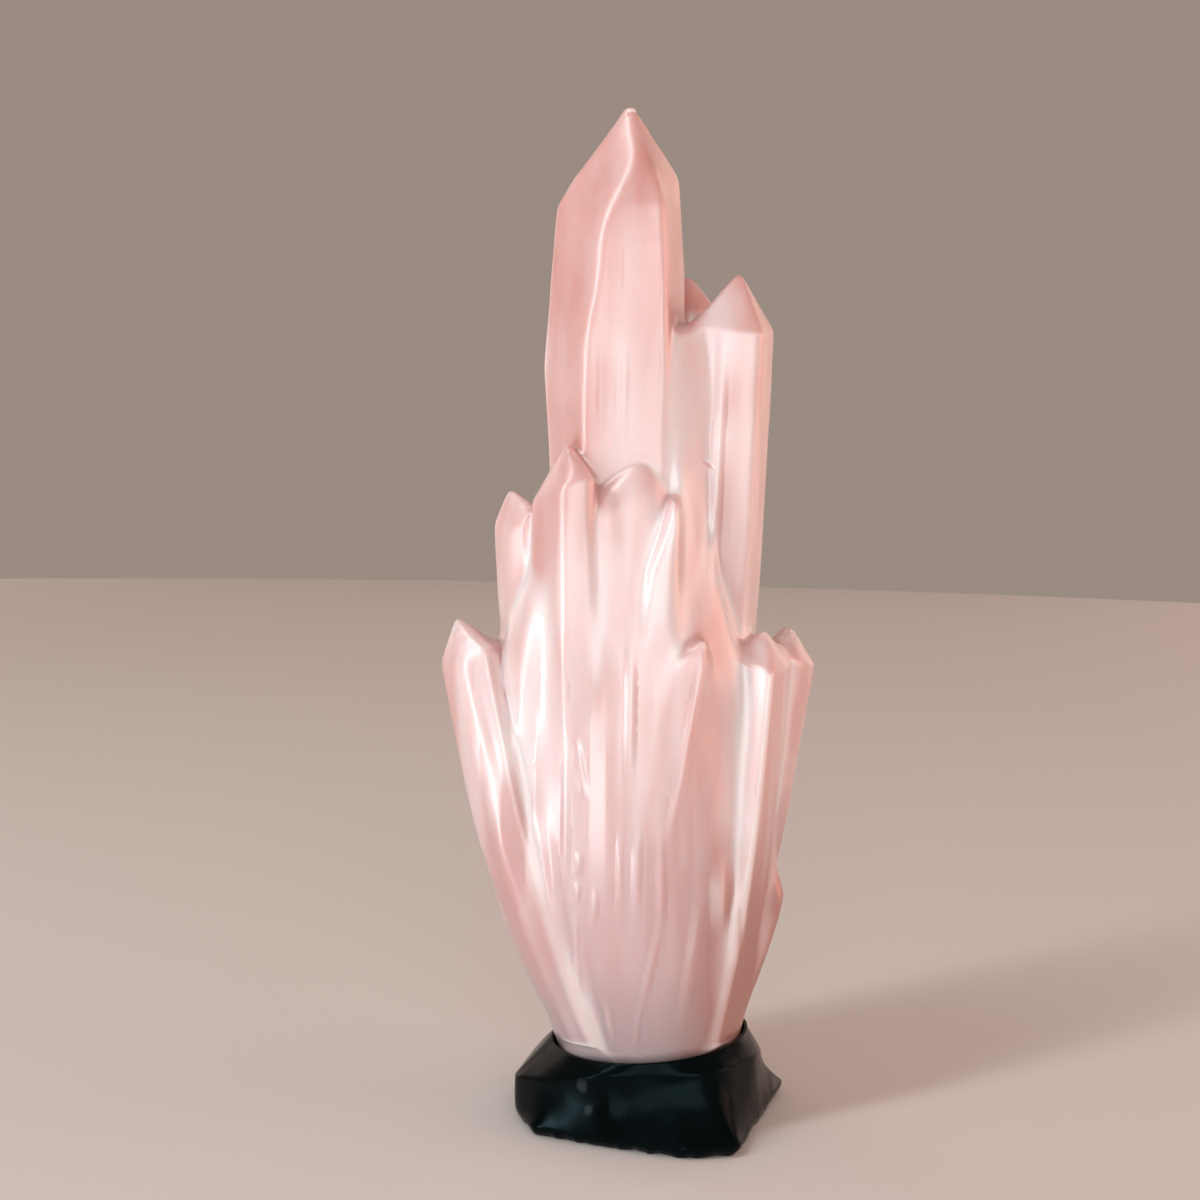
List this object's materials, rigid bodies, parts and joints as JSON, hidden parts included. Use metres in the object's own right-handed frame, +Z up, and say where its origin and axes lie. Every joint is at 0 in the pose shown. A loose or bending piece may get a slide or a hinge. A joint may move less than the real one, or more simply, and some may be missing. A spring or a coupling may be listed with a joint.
{
  "type": "crystal cluster",
  "caption": "Upright cluster of milky pink pointed quartz crystals grown together, standing in a low black faceted stand.",
  "frame": {"origin": "on the surface the stand rests on, under the middle of the stone's neck", "axes": "+Z up along the tallest crystal, -Y towards the side seen in the picture, +X to that side's right"},
  "size_m": [0.1134, 0.0849, 0.3],
  "materials": {
    "milky_rose_quartz": "milky translucent pink quartz with a satin polish and whiter ridges",
    "black_lacquer": "thick black gloss lacquer over carved wood, with a rough lower edge"
  },
  "bodies": {
    "root": {"crystal_cluster": "milky_rose_quartz", "stand": "black_lacquer"}
  },
  "joints": []
}
